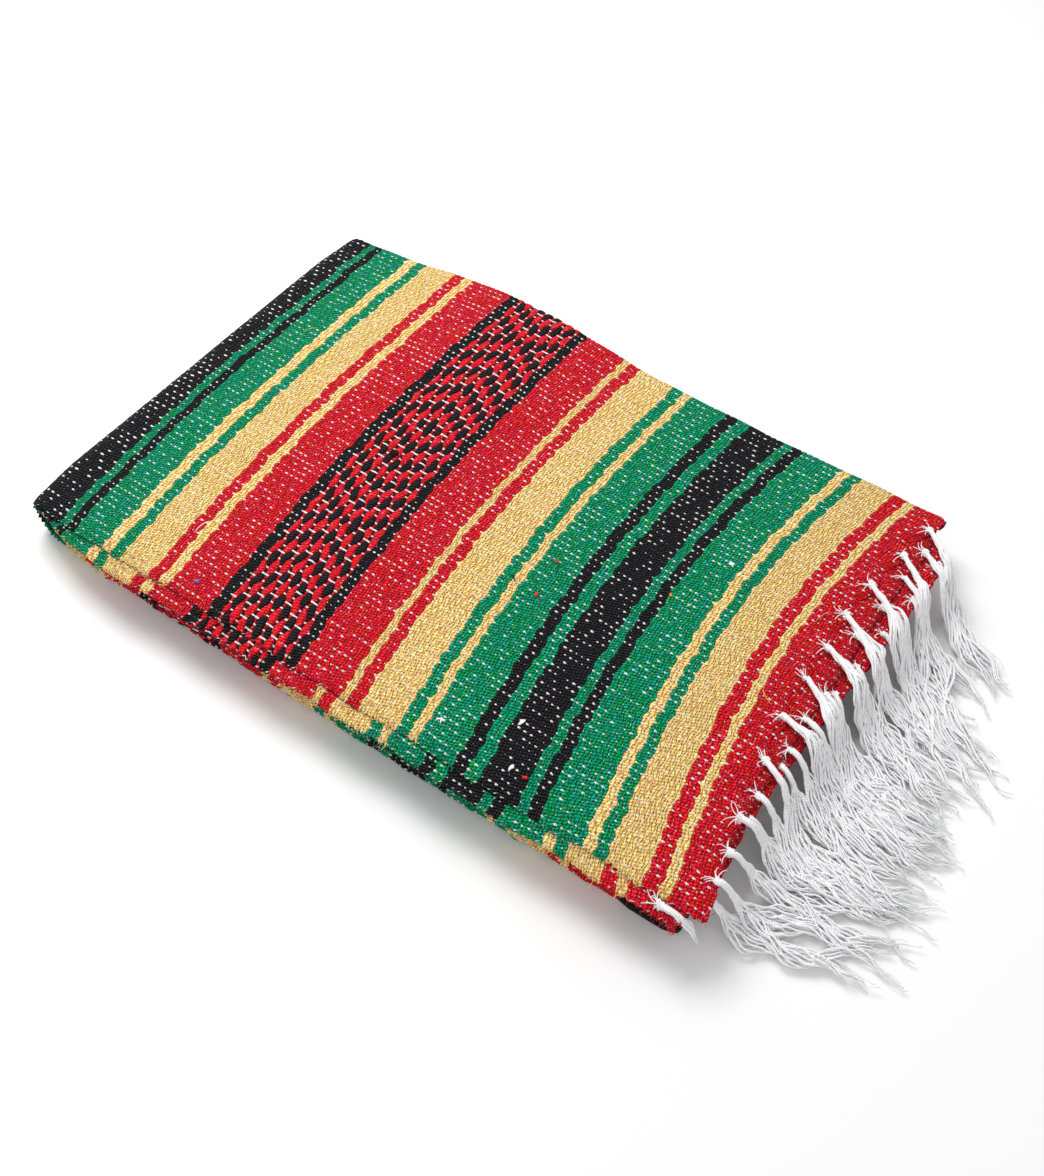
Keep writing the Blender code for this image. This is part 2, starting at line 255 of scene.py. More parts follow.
def linear(hexColour):
    parts = [int(hexColour[i : i + 2], 16) / 255.0 for i in (1, 3, 5)]
    return tuple(p / 12.92 if p <= 0.04045 else ((p + 0.055) / 1.055) ** 2.4 for p in parts) + (1.0,)


def addNode(tree, kind, inputs=None, **settings):
    made = tree.nodes.new(kind)
    for name, value in settings.items():
        setattr(made, name, value)
    for key, value in (inputs or {}).items():
        if isinstance(value, bpy.types.NodeSocket):
            tree.links.new(value, made.inputs[key])
        else:
            made.inputs[key].default_value = value
    return made


def addSteps(tree, value, steps):
    # one node for each step of a table; what it gives is kept in value by the step's name
    for name, operation, *parts in steps:
        inputs = {i: value.get(part, part) if isinstance(part, str) else part for i, part in enumerate(parts)}
        settings = {"operation": operation} if operation != "SPREAD" else {"interpolation_type": "SMOOTHSTEP"}
        kind = "ShaderNodeMath" if operation != "SPREAD" else "ShaderNodeMapRange"
        value[name] = addNode(tree, kind, inputs, label=name, **settings).outputs[0]


def startMaterial(name, sockets):
    made = bpy.data.materials.new(name)
    made.use_nodes = True
    shader = made.node_tree.nodes["Principled BSDF"]
    for socket, value in sockets.items():
        shader.inputs[socket].default_value = value
    return made, made.node_tree, shader


# Acrylic and cotton weft on white cotton warp: coarse, dull and slightly fuzzy. Each pick of weft
# passes over one warp and under the next, so the eye gets staggered soft lumps of colour with a
# small white dot of warp between them, and pits where the yarns dive, painted darker as shade.
falsa = {
    "black": "#252327",
    "green": "#009C70",
    "yellow": "#FFD690",
    "red": "#DB1C30",
    "warp": "#FAF8F5",
    "finish": {"Roughness": 0.92, "Specular IOR Level": 0.08, "Sheen Weight": 0.02, "Sheen Roughness": 0.6},
    "waver": (0.22, 0.42),  # how far warps and picks stray, in warps and picks
    "dotAcross": 0.1,  # half the width of a warp dot, in warps: 0.47 mm
    "dotAlong": 0.36,  # half its length, in picks
    "grain": (2.2, 2.9),  # tufts of fibre for each warp and pick
    "slant": 1.3,  # they lean, as the yarn is twisted
    "pitShadeDepth": 1.3,  # painted shade: how much deeper in colour the pits where the yarns dive are made
    "pitShadeDark": 0.62,  # painted shade: and how much darker they are made there
    "relief": 0.0012,
    # the dyes of half the pattern, by picks from the middle of the black stripe
    "stripes": (
        (0, "black"), (6, "green"), (10, "black"), (14, "green"), (27, "yellow"), (30, "green"),
        (34, "yellow"), (47, "red"), (51, "yellow"), (54, "red"), (70, "black"),
    ),
}

# Each step is a name, an operation and what it works on: numbers or the names of earlier steps.
# SPREAD takes a value smoothly from its own low and high to another low and high.
weaveSteps = (
    ("kTurn", "MULTIPLY", "k", math.pi),
    ("kWave", "COSINE", "kTurn"),
    ("sTurn", "MULTIPLY", "s", math.pi),
    ("sWave", "COSINE", "sTurn"),
    ("laceWave", "MULTIPLY", "kWave", "sWave"),
    ("lace", "MULTIPLY", "laceWave", weave["lace"]),
    ("laced", "SUBTRACT", "s", "lace"),
    ("pick", "FLOOR", "laced"),
    ("inPick", "SUBTRACT", "laced", "pick"),
    ("pickMiddle", "ADD", "pick", 0.5),
    ("charted", "MAXIMUM", "pickMiddle", -5.5),  # the last stripe is as wide as it has to be
    ("fromBlackRaw", "SUBTRACT", "charted", weave["blackPick"]),
    ("fromBlack", "PINGPONG", "fromBlackRaw", weave["turn"]),
    ("stripe", "DIVIDE", "fromBlack", weave["turn"]),
    ("inBand", "GREATER_THAN", "fromBlack", weave["bandFrom"]),
    # the nearest warp, and whether it shows as a dot
    ("warp", "ROUND", "k"),
    ("offWarpRaw", "SUBTRACT", "k", "warp"),
    ("offWarp", "ABSOLUTE", "offWarpRaw"),
    ("dotAcross", "DIVIDE", "offWarp", falsa["dotAcross"]),
    ("dotRow", "SUBTRACT", "s", "warp"),
    ("dotRowMiddle", "SUBTRACT", "dotRow", 0.5),
    ("offDotRow", "PINGPONG", "dotRowMiddle", 1.0),
    ("dotAlong", "DIVIDE", "offDotRow", falsa["dotAlong"]),
    ("dotAcrossSquare", "MULTIPLY", "dotAcross", "dotAcross"),
    ("dotAlongSquare", "MULTIPLY", "dotAlong", "dotAlong"),
    ("dotRadius", "ADD", "dotAcrossSquare", "dotAlongSquare"),
    ("dotCellRaw", "ADD", "dotRowMiddle", 1.0),
    ("dotCellHalf", "DIVIDE", "dotCellRaw", 2.0),
    ("dotCell", "FLOOR", "dotCellHalf"),
    # the diamond band: which doubled row this is, and whether it lies over the warp
    ("sFromBlackRaw", "SUBTRACT", "s", weave["blackPick"]),
    ("sFromBlack", "PINGPONG", "sFromBlackRaw", weave["turn"]),
    ("fromMiddle", "SUBTRACT", weave["turn"], "sFromBlack"),
    ("row", "DIVIDE", "fromMiddle", weave["rowPicks"]),
    ("cell", "FLOOR", "row"),
    ("cellHalf", "DIVIDE", "cell", 2.0),
    ("ring", "FLOOR", "cellHalf"),
    ("cellOdd", "MODULO", "cell", 2.0),
    ("kFromDiamond", "SUBTRACT", "k", weave["diamondWarp"]),
    ("diamond", "PINGPONG", "kFromDiamond", weave["diamondHalf"]),
    ("diamondRing", "ADD", "diamond", "ring"),
    ("angleRaw", "SUBTRACT", "diamondRing", 0.5),
    ("angle", "MULTIPLY", "angleRaw", math.pi / 2),
    ("evenEdge", "COSINE", "angle"),
    ("angleSine", "SINE", "angle"),
    ("oddEdgeRaw", "SUBTRACT", "angleSine", "evenEdge"),
    ("oddEdge", "MULTIPLY", "oddEdgeRaw", 0.5),
    ("edgeGap", "SUBTRACT", "oddEdge", "evenEdge"),
    ("edgeShare", "MULTIPLY", "edgeGap", "cellOdd"),
    ("edgeWave", "ADD", "evenEdge", "edgeShare"),
    ("edgeBulge", "MULTIPLY", "edgeWave", weave["bandLace"]),
    ("edgeMiddle", "ADD", "cell", 0.5),
    ("edge", "ADD", "edgeMiddle", "edgeBulge"),
    ("pastEdge", "GREATER_THAN", "row", "edge"),
    ("thisRow", "ADD", "cell", "pastEdge"),
    ("redRow", "MODULO", "thisRow", 2.0),
    ("thisHalf", "DIVIDE", "thisRow", 2.0),
    ("thisRing", "FLOOR", "thisHalf"),
    ("warpFromDiamond", "SUBTRACT", "warp", weave["diamondWarp"]),
    ("warpDiamond", "PINGPONG", "warpFromDiamond", weave["diamondHalf"]),
    ("liftCount", "ADD", "warpDiamond", "thisRing"),
    ("liftPhase", "MODULO", "liftCount", 4.0),
    ("blackLifted", "LESS_THAN", "liftPhase", 1.5),
    ("liftedRaw", "SUBTRACT", "blackLifted", "redRow"),
    ("lifted", "ABSOLUTE", "liftedRaw"),
    ("sunk", "SUBTRACT", 1.0, "lifted"),
    ("offEdgeRaw", "SUBTRACT", "row", "edge"),
    ("offEdge", "ABSOLUTE", "offEdgeRaw"),
    # how far from the side of the yarn: 0 in the pit between two, 0.5 at the crown
    ("offPickEdge", "PINGPONG", "inPick", 0.5),
    ("offBandEdge", "MINIMUM", "offEdge", 0.5),
    ("bandGap", "SUBTRACT", "offBandEdge", "offPickEdge"),
    ("bandGapShare", "MULTIPLY", "bandGap", "inBand"),
    ("fromSide", "ADD", "offPickEdge", "bandGapShare"),
    # the two plies of each yarn wind round each other
    ("plyAlong", "MULTIPLY", "k", 2.3),
    ("plyAcross", "MULTIPLY", "inPick", 0.8),
    ("plyPick", "MULTIPLY", "pick", 0.37),
    ("plySum", "ADD", "plyAlong", "plyAcross"),
    ("plyPhase", "ADD", "plySum", "plyPick"),
    ("plyTurn", "MULTIPLY", "plyPhase", 2 * math.pi),
    ("ply", "SINE", "plyTurn"),
)
fibreSteps = (
    ("grainAlong", "MULTIPLY", "k", falsa["grain"][0]),
    ("grainLean", "MULTIPLY", "k", falsa["slant"]),
    ("grainAcross", "MULTIPLY_ADD", "s", falsa["grain"][1], "grainLean"),
)
shadeSteps = (
    # green yarn goes from leaf to teal, the other dyes hardly change
    ("greenness", "SUBTRACT", "dyeGreen", "dyeRed"),
    ("hueReach", "SPREAD", "greenness", 0.0, 0.3, 0.016, 0.09),
    ("hueParts", "ADD", "streakHue", "grainHue"),
    ("hueShift", "SPREAD", "hueParts", 0.7, 1.3, -0.5, 0.5),
    ("hue", "MULTIPLY_ADD", "hueShift", "hueReach", 0.5),
    ("yarnShade", "SPREAD", "streakShade", 0.3, 0.7, 0.86, 1.1),
    ("fibreShade", "SPREAD", "grainShade", 0.3, 0.7, 0.5, 1.42),
    ("shade", "MULTIPLY", "yarnShade", "fibreShade"),
    ("tuft", "SPREAD", "grainTuft", 0.6, 0.76, 0.0, 0.8),
    # painted shade: between the yarns the pits are made deeper in colour, as light bounced from dye to dye, and
    # darker, as shade
    ("crown", "SPREAD", "fromSide", 0.0, 0.32, 0.0, 1.0),
    ("plied", "SPREAD", "ply", -1.0, 1.0, 0.0, 1.0),
    ("openness", "MULTIPLY_ADD", "crown", 0.68, "plied"),
    ("pitShadeGamma", "SPREAD", "openness", 0.0, 1.5, 1.0 + falsa["pitShadeDepth"], 0.92),
    ("lit", "SPREAD", "openness", 0.0, 1.4, falsa["pitShadeDark"], 1.15),
    # the white warp: dots of many sizes in plain weave, dashes across the sunk rows of the band
    ("dotSize", "SPREAD", "chance", 0.2, 1.0, 0.02, 2.0),
    ("dotSized", "DIVIDE", "dotRadius", "dotSize"),
    ("dot", "SPREAD", "dotSized", 1.3, 0.8, 0.0, 1.0),
    ("dashEdge", "MULTIPLY_ADD", "grainShade", 0.12, "offWarp"),
    ("dashAcross", "SPREAD", "dashEdge", 0.20, 0.14, 0.0, 0.95),
    ("dash", "MULTIPLY", "dashAcross", "sunk"),
    # relief finer than the mesh: rounded yarns, plies and fibre
    ("roundYarn", "SPREAD", "fromSide", 0.0, 0.4, 0.0, 0.62),
    ("plyRelief", "MULTIPLY_ADD", "ply", 0.12, "roundYarn"),
    ("fibreRelief", "MULTIPLY_ADD", "grainShade", 0.55, "plyRelief"),
)


def falsaCloth():
    made, tree, shader = startMaterial("acrylic and cotton falsa weave", falsa["finish"])
    uv = addNode(tree, "ShaderNodeUVMap", uv_map="warpAndPick").outputs["UV"]
    # no yarn is quite straight
    stray = addNode(tree, "ShaderNodeTexNoise", {"Vector": uv, "Scale": 0.4, "Detail": 2.0}).outputs["Color"]
    centred = addNode(
        tree, "ShaderNodeVectorMath", {0: stray, 1: (0.5, 0.5, 0.5)}, operation="SUBTRACT"
    ).outputs[0]
    strayed = addNode(
        tree, "ShaderNodeVectorMath", {0: centred, 1: (*falsa["waver"], 0.0), 2: uv}, operation="MULTIPLY_ADD"
    ).outputs[0]
    split = addNode(tree, "ShaderNodeSeparateXYZ", {0: strayed})
    value = {"k": split.outputs["X"], "s": split.outputs["Y"]}
    addSteps(tree, value, weaveSteps)

    # dyed stripes, and the red and black rows of the band
    ramp = addNode(tree, "ShaderNodeValToRGB", {0: value["stripe"]})
    ramp.color_ramp.interpolation = "CONSTANT"
    for i, (pick, dye) in enumerate(falsa["stripes"]):
        stop = ramp.color_ramp.elements[i] if i < 2 else ramp.color_ramp.elements.new(0.99)
        stop.position = pick / weave["turn"]
        stop.color = linear(falsa[dye])
    rows = addNode(
        tree, "ShaderNodeMix", {0: value["redRow"], 6: linear(falsa["black"]), 7: linear(falsa["red"])},
        data_type="RGBA",
    ).outputs[2]
    dyed = addNode(
        tree, "ShaderNodeMix", {0: value["inBand"], 6: ramp.outputs[0], 7: rows}, data_type="RGBA"
    ).outputs[2]

    # heathered yarn: the shade changes along each pick, and tufts of other fibre are spun in
    streakAt = addNode(tree, "ShaderNodeCombineXYZ", {0: value["k"], 1: value["pick"]}).outputs[0]
    streak = addNode(tree, "ShaderNodeTexNoise", {"Vector": streakAt, "Scale": 0.9, "Detail": 3.0})
    addSteps(tree, value, fibreSteps)
    grainAt = addNode(tree, "ShaderNodeCombineXYZ", {0: value["grainAlong"], 1: value["grainAcross"]}).outputs[0]
    grain = addNode(
        tree, "ShaderNodeTexNoise", {"Vector": grainAt, "Scale": 1.0, "Detail": 2.5, "Roughness": 0.6}
    )
    dotAt = addNode(tree, "ShaderNodeCombineXYZ", {0: value["warp"], 1: value["dotCell"]}).outputs[0]
    chance = addNode(tree, "ShaderNodeTexWhiteNoise", {"Vector": dotAt}, noise_dimensions="2D")
    value["chance"] = chance.outputs[0]
    for source, names in (
        (streak.outputs["Color"], ("streakShade", "streakHue")),
        (grain.outputs["Color"], ("grainShade", "grainTuft", "grainHue")),
        (dyed, ("dyeRed", "dyeGreen")),
    ):
        channels = addNode(tree, "ShaderNodeSeparateColor", {0: source})
        value.update(zip(names, channels.outputs))
    addSteps(tree, value, shadeSteps)
    heather = {"Hue": value["hue"], "Saturation": 1.0, "Value": value["shade"], "Color": dyed}
    heathered = addNode(tree, "ShaderNodeHueSaturation", heather).outputs[0]
    pale = {"Hue": value["hue"], "Saturation": 0.55, "Value": 1.7, "Color": dyed}
    paler = addNode(tree, "ShaderNodeHueSaturation", pale).outputs[0]
    tufted = addNode(
        tree, "ShaderNodeMix", {0: value["tuft"], 6: heathered, 7: paler}, data_type="RGBA", clamp_result=True
    ).outputs[2]
    # painted shade: the colour of the pits is deepened and darkened
    pitShadeDeepened = addNode(tree, "ShaderNodeGamma", {0: tufted, 1: value["pitShadeGamma"]}).outputs[0]
    shaded = addNode(
        tree, "ShaderNodeMix", {0: 1.0, 6: pitShadeDeepened, 7: value["lit"]}, data_type="RGBA", blend_type="MULTIPLY"
    ).outputs[2]
    white = addNode(
        tree, "ShaderNodeMix", {0: value["inBand"], 2: value["dot"], 3: value["dash"]}, data_type="FLOAT"
    ).outputs[0]
    coloured = addNode(
        tree, "ShaderNodeMix", {0: white, 6: shaded, 7: linear(falsa["warp"])}, data_type="RGBA"
    ).outputs[2]
    tree.links.new(coloured, shader.inputs["Base Color"])
    relief = addNode(
        tree, "ShaderNodeMath", {0: white, 1: 0.2, 2: value["fibreRelief"]}, operation="MULTIPLY_ADD"
    ).outputs[0]
    bump = addNode(tree, "ShaderNodeBump", {"Height": relief, "Strength": 1.0, "Distance": falsa["relief"]})
    tree.links.new(bump.outputs["Normal"], shader.inputs["Normal"])
    return made


cloth = falsaCloth()
print("cloth material:", len(cloth.node_tree.nodes), "nodes")

# Knots are where the warp ends are tied: u and v on the blanket
fringeRows = {
    "topFringe": {
        "node": "fringe_top",
        "w": 34.8,
        "knots": (
            (484, 309), (479, 280), (472, 247), (469, 217), (471, 189), (470, 162), (471, 131), (476, 99),
            (481, 60), (489, 21),
        ),
        "length": (122, 142),
    },
    "secondFringe": {
        "node": "fringe_second",
        "w": 32.4,
        "knots": (
            (489, 292), (486, 266), (485, 238), (481, 209), (484, 187), (485, 159), (482, 138), (484, 115),
            (483, 79), (486, 40), (470, -7),
        ),
        "length": (104, 132),
    },
    "lowerFringe": {
        "node": "fringe_lower",
        "w": 28.5,
        "knots": (
            (500, 291), (498, 256), (494, 222), (490, 190), (488, 165), (486, 140), (484, 105), (482, 66),
            (485, 12),
        ),
        "length": (94, 118),
    },
}
fringes = {
    # seen from above, how a tassel heads off over the cloth and where it ends up on the floor, by v
    "firstHeading": (
        (-7, 0.05), (21, 0.2), (40, 0.1), (70, -0.12), (95, -0.38), (165, -0.46), (225, -0.6), (309, -0.82),
    ),
    "lastHeading": ((-7, 0.5), (21, 0.42), (70, 0.32), (110, 0.08), (160, -0.1), (220, -0.38), (309, -0.64)),
    "fall": 1.1,  # how steeply it hangs over the edge
    "fallFrom": 5.0,  # it begins to fall this far before the cloth's end
    "fallOver": 8.0,
    "landOver": 24.0,  # and levels out over this height
    "wavesOver": 45.0,  # its waves grow over this length
    "cord": (9.0, 18.0),
    "openOver": 26.0,
    "cornerShare": 0.3,  # how long the tassel tucked under the near corner is
    "gains": ((12.0, 120.0, 70.0), (-24.0, 225.0, 45.0)),  # how much longer past which v, and over what
    "locks": 4,
    "lockFan": 0.24,
    "lockApart": 4.4,
    "strands": 7,  # in each lock
    "radius": 0.62,
    "step": 3.0,
    "wide": (1.25, 2.7),  # a lock's half width as a cord, and how much it opens
    "high": (1.1, 1.1),
    "tip": 0.72,  # how far a lock's tip is drawn together again
    "crimp": (0.3, 0.85),  # the yarn keeps the bends that the weave gave it
    "sides": 5,
    "knotTurns": 2.6,
    "knotWind": 1.75,
    "knotRadius": 0.95,
    "strays": 6,
    "strayRadius": 0.4,
}

# The outermost cloth: top face, left fold, underside, and the width fold at the far side
topLayer = {
    "thick": 2.0,
    "thinned": 0.8,
    "nearV": -3.4,
    "drawBack": 4.4,  # how far the near selvedge has drawn back on the underside
    "roll": 4.4,  # outer radius of the width fold
    "tuck": 3.0,
    "underEnd": 446.0,
    "foldPicks": 26,  # from the last black middle round the left fold
    "fine": 0.5,  # picks between two points
    "fineTo": 268,
    "coarse": 3.0,  # and on the underside
    "gatherPicks": 9.0,  # the end is gathered into the knots
    "gather": (3.2, -1.0),  # how far it reaches at a knot, and between two
    "droop": 1.7,
}
lipWarps = (-0.8, -0.55, -0.3, -0.1)  # warps at the four points round a near edge

lain = {}  # each layer's points, warps and picks as it lies, for what is caught in its surface


def pathPoint(q, v, depth, down):
    # q is measured along the cloth from the start of the left fold: on the top it is positive
    arc = math.pi * (half - depth)
    angle = 0.5 * np.pi + np.pi * np.clip(-q / arc, 0.0, 1.0)
    radius = half - down
    onTop = np.maximum(q, 0.0)
    under = np.maximum(-q - arc, 0.0)
    uTop = unbow(lie["foldU"] + onTop, v)
    u = np.where(q > 0, uTop, lie["foldU"] + under) + radius * np.cos(angle)
    return settle(u, v, half + radius * np.sin(angle))


def lip(nearV, thick, thinned=0.0):
    # the cloth's rounded near edge, from its inner face out: down and v
    middle = 0.5 * (thick + thinned)
    return [(thick, nearV + 1.6), (thick - 0.2, nearV + 0.5), (middle, nearV), (thinned + 0.3, nearV + 0.45)]


def thinning(v, nearV, thinned):
    # the last warps of the top face slope down to the next layer
    return thinned * (1.0 - smooth((v - nearV - 0.6) / 5.5))


def nearWaver(s, fromEdge):
    # the selvedge: a loop of weft at every other pick, no two alike, and an edge that isn't straight
    uneven = 0.9 + 0.45 * np.sin(s * 0.71) + 0.35 * np.sin(s * 1.37 + 1.0)
    loops = 0.8 * uneven * np.cos(np.pi * s) * (1.0 - smooth(fromEdge / 2.5))
    slow = 0.6 * np.sin(s * 0.21 + 1.0) + 0.5 * np.sin(s * 0.083) + 0.25 * np.sin(s * 0.47 + 2.0)
    return loops + slow * (1.0 - smooth(fromEdge / 40.0))


def nearShare(v, nearV):
    # how much of the near side's drawing back is left at v
    return np.clip(1.0 - (v - nearV) / 300.0, 0.0, 1.0)


def scallop(v, knots):
    # 1 at a knot and 0 half way to the next: between knots the cloth's end draws back a little
    tied = np.sort(np.array([knotV for _, knotV in knots], float))
    phase = np.interp(v, tied, np.arange(len(tied)), left=0.0, right=len(tied) - 1.0)
    return np.cos(np.pi * phase) ** 2


def buildTopLayer():
    at = topLayer
    turn = lie["farV"] - at["roll"]
    edge = lip(at["nearV"], at["thick"] + 0.2, at["thinned"])
    flat = np.arange(at["nearV"] + 1.3, turn, weave["warp"] / 2)
    roll = np.pi * np.arange(1, 8) / 7
    down = [d for d, _ in edge] + list(thinning(flat, at["nearV"], at["thinned"]))
    down += list(at["roll"] * (1 - np.cos(roll))) + [2 * at["roll"]]
    v = [x for _, x in edge] + list(flat) + list(turn + at["roll"] * np.sin(roll)) + [turn - at["tuck"]]
    arcLength = list(turn + at["roll"] * roll) + [turn + at["roll"] * math.pi + at["tuck"]]
    k = list(lipWarps) + [(x - at["nearV"]) / weave["warp"] for x in list(flat) + arcLength]
    down, v, k = np.array(down), np.array(v), np.array(k)
    arc = math.pi * half
    toFold = weave["blackPick"] + weave["turn"] * 2 + at["foldPicks"]
    last = toFold + (at["underEnd"] - lie["foldU"]) / weave["pick"]
    fine = np.arange(0, at["fineTo"], at["fine"])
    s = np.concatenate([fine, np.arange(at["fineTo"], last, at["coarse"]), [last]])
    x = pickX(s)[:, None] + 0 * v
    q = x + stripeLean(x, v) * leanFade(x) - lie["foldU"]
    tied = scallop(v, fringeRows["topFringe"]["knots"])
    toEnd = 1.0 - smooth(s / at["gatherPicks"])[:, None]
    q = q + (at["gather"][0] * tied + at["gather"][1]) * toEnd
    q = np.maximum(q, -(arc + at["underEnd"] - lie["foldU"]))
    share = np.clip(-q / arc, 0.0, 1.0)
    vv = v + at["drawBack"] * share * nearShare(v, at["nearV"])
    vv = vv + nearWaver(s[:, None], v - at["nearV"])
    points = pathPoint(q, vv, 0.0, down)
    normals = gridNormals(points)
    rough = weaveRelief(k + 0 * q, s[:, None] + 0 * q) * (1.0 - smooth((-q - arc + 10.0) / 10.0))
    rough = rough * np.where(down > 1.2, 0.4, 1.0)
    # picks that are beaten closer together stand less high
    rough = rough * np.clip(-np.gradient(pickX(s), s) / weave["pick"], 0.5, 1.0)[:, None]
    soft = 0.5 * np.sin(x * 0.061 + v * 0.043) + 0.4 * np.sin(x * 0.13 - v * 0.09 + 1.0) + (
        0.25 * np.sin(v * 0.19 + x * 0.021 + 2.0)
    )
    soft = soft * (1.0 - smooth((-q) / 20.0))
    # gathered into the knots, and the end of the cloth lies down on the next layer
    gathered = toEnd * (1.1 * tied - 0.7) - at["droop"] * (1.0 - smooth(s / 2.5))[:, None]
    points = points + normals * ((rough - 0.25 + 0.6 * soft + gathered)[..., None] * mm)
    points[..., 2] = np.maximum(points[..., 2], 0.0)
    lain["top"] = (points, k, s)
    return gridPiece("topLayerCloth", points, k + 0 * q, s[:, None], cloth)


topCloth = buildTopLayer()
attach(topCloth, "root")
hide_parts("top_layer")
print("top layer:", len(topCloth.data.polygons), "faces")

# The next layer: it shows as a step along the near side and past the end
secondLayer = {
    "depth": 2.4,
    "thick": 2.0,
    "nearV": -13.5,
    "farV": 320.0,
    "drawBack": 10.0,
    "underEnd": 446.0,
    "cornerDraw": 0.95,  # at the left fold it has drawn back already
    "shift": (5.0, 18.0),  # its stripes lie this far to the left, at the left end and more at the right
    "end": ((-14, 478), (-8, 480), (20, 488), (50, 484), (82, 482), (127, 483), (177, 484), (215, 485), (255, 487),
            (290, 490), (303, 489), (311, 485), (325, 482)),
    "lastPick": -18.0,
    "endFrom": 10.0,  # the pick from which it is brought to that end
    "foldPicks": 22,
    "fine": 0.5,
    "fineTo": 264,
    "coarse": 1.5,
    "denseTo": 8.0,  # up to this v there are two points to a warp
}


def buildSecondLayer():
    at = secondLayer
    edge = lip(at["nearV"], at["thick"])
    dense = np.arange(at["nearV"] + 1.3, at["denseTo"], weave["warp"] / 2)
    flat = np.concatenate([dense, np.arange(at["denseTo"], at["farV"], weave["warp"])])
    down = at["depth"] + np.array([d for d, _ in edge] + [0.0] * len(flat))
    v = np.array([x for _, x in edge] + list(flat))
    k = (v - at["nearV"]) / weave["warp"]
    k[: len(lipWarps)] = lipWarps
    arc = math.pi * (half - at["depth"])
    toFold = weave["blackPick"] + weave["turn"] * 2 + at["foldPicks"]
    last = toFold + (at["underEnd"] - lie["foldU"]) / weave["pick"]
    fine = np.arange(at["lastPick"], at["fineTo"], at["fine"])
    s = np.concatenate([fine, np.arange(at["fineTo"], last, at["coarse"]), [last]])
    top = pickX(s)[:, None] + 0 * v
    x = top - at["shift"][0] - at["shift"][1] * np.clip(top / 450.0, 0.0, 1.0)
    leaned = x + stripeLean(top, v) * leanFade(x)
    end = np.interp(v, *zip(*at["end"]))
    toEnd = np.clip((at["endFrom"] - s) / (at["endFrom"] - at["lastPick"]), 0.0, 1.0)[:, None]
    q = leaned * (1 - toEnd) + end * toEnd - lie["foldU"]
    q = np.maximum(q, -(arc + at["underEnd"] - lie["foldU"]))
    share = np.clip(-q / arc, 0.0, 1.0)
    drawn = at["drawBack"] * np.maximum(share, at["cornerDraw"] * (1.0 - smooth((q + 12.0) / 75.0)))
    vv = v + drawn * nearShare(v, at["nearV"]) + nearWaver(s[:, None], v - at["nearV"])
    points = pathPoint(q, vv, at["depth"], down)
    rough = weaveRelief(k + 0 * q, s[:, None] + 0 * q)
    points = points + gridNormals(points) * ((rough - 0.3)[..., None] * mm)
    lain["second"] = (points, k, s)
    return gridPiece("secondLayerCloth", points, k + 0 * q, s[:, None], cloth)


secondCloth = buildSecondLayer()
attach(secondCloth, "root")
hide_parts("second_layer")
print("second layer:", len(secondCloth.data.polygons), "faces")

# The layer below ends furthest out, on the far half of the end
thirdEnd = {
    "depth": 3.9,
    "nearV": -9.0,
    "farV": 321.0,
    "picks": 26.0,
    "from": 452.0,
    "end": ((-10, 478), (20, 489), (60, 485), (100, 487), (140, 490), (160, 491), (180, 494), (200, 496),
            (240, 499), (280, 502), (291, 504), (300, 500), (311, 488), (325, 484)),
}


def buildThirdEnd():
    at = thirdEnd
    v = np.arange(at["nearV"], at["farV"], weave["warp"] / 2)
    picks = np.arange(-at["picks"], 0.5, 0.5)
    end = np.interp(v, *zip(*at["end"]))
    toEnd = ((0.0 - picks) / at["picks"])[:, None]
    x = at["from"] * (1 - toEnd) + end * toEnd + 0.5 * np.sin(v * 0.4 + picks[:, None])
    w = lie["height"] - at["depth"] + 0 * x
    w = w - 1.4 * smooth((toEnd - 0.7) / 0.3)
    k = (v - at["nearV"]) / weave["warp"]
    points = settle(unbow(x, v), v, w)
    rough = weaveRelief(k + 0 * x, picks[:, None] + 0 * x)
    points = points + gridNormals(points) * ((rough - 0.3)[..., None] * mm)
    # turned down at the end, as thick cloth
    lastRow = points[0]
    folded = np.stack([lastRow + np.array([0.0006, 0, -0.0009]), lastRow + np.array([0.0001, 0, -0.0018])])
    points = np.concatenate([folded[::-1], points])
    picks = np.concatenate([[-27.0, -26.5], picks])
    return gridPiece("thirdLayerEnd", points, k, picks[:, None], cloth)


thirdCloth = buildThirdEnd()
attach(thirdCloth, "root")
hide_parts("second_layer")
print("end of the layer below:", len(thirdCloth.data.polygons), "faces")

# The hidden layers: one rounded solid, with each fold and cut edge shown at its sides
innerLayers = {
    "depth": 4.8,
    # each fold's first and last depth and how far out it reaches, and the picks that its pattern is shifted by
    "nearLobes": ((4.8, 9.1, -10.8), (9.1, 13.2, -10.3), (13.2, 15.2, -9.0), (15.2, 17.0, -8.3)),
    "farLobes": ((4.8, 9.3, 316.0), (9.3, 17.0, 327.0)),
    "lobeShift": (0.0, 0.5, -1.0, 1.0, -9.0, 6.0),
    "nearCrease": -5.0,
    "farCrease": 313.0,
    "nearSteps": 7,
    "farSteps": 8,
    "body": (12.0, 297.0, 7),  # first v, last v and count between the two sides
    "drawBack": 6.5,
    "cornerDraw": 7.0,
    "cornerOver": 60.0,
    "topEnd": 474.0,
    "underEnd": 446.0,
    "underGap": 2.5,
    "stepDownGap": 6.0,  # from the underside's end to where it rests on the floor
    "restShort": 8.0,
    "footShort": 9.0,
    "middleFoldU": 475.0,
    "middleFoldRadius": 8.4,
    "leftFoldSteps": 19,
    "middleFoldSteps": 13,
    "cutEnds": (
        (472.5, 17.6), (474.6, 18.6), (475.4, 20.4), (474.2, 22.2), (473.4, 22.8), (475.4, 23.8), (476.2, 25.6),
        (475.2, 27.6),
    ),
    # u and pick: a diamond band's middle, pick 325, shows at 127, and it stays black towards the end
    "picks": ((-20.0, 252.9), (446.9, 481.8), (454.6, 485.6), (461.4, 482.3), (468.1, 485.6), (474.9, 482.3),
              (481.6, 485.6)),
    "pickStep": 2.6,
}


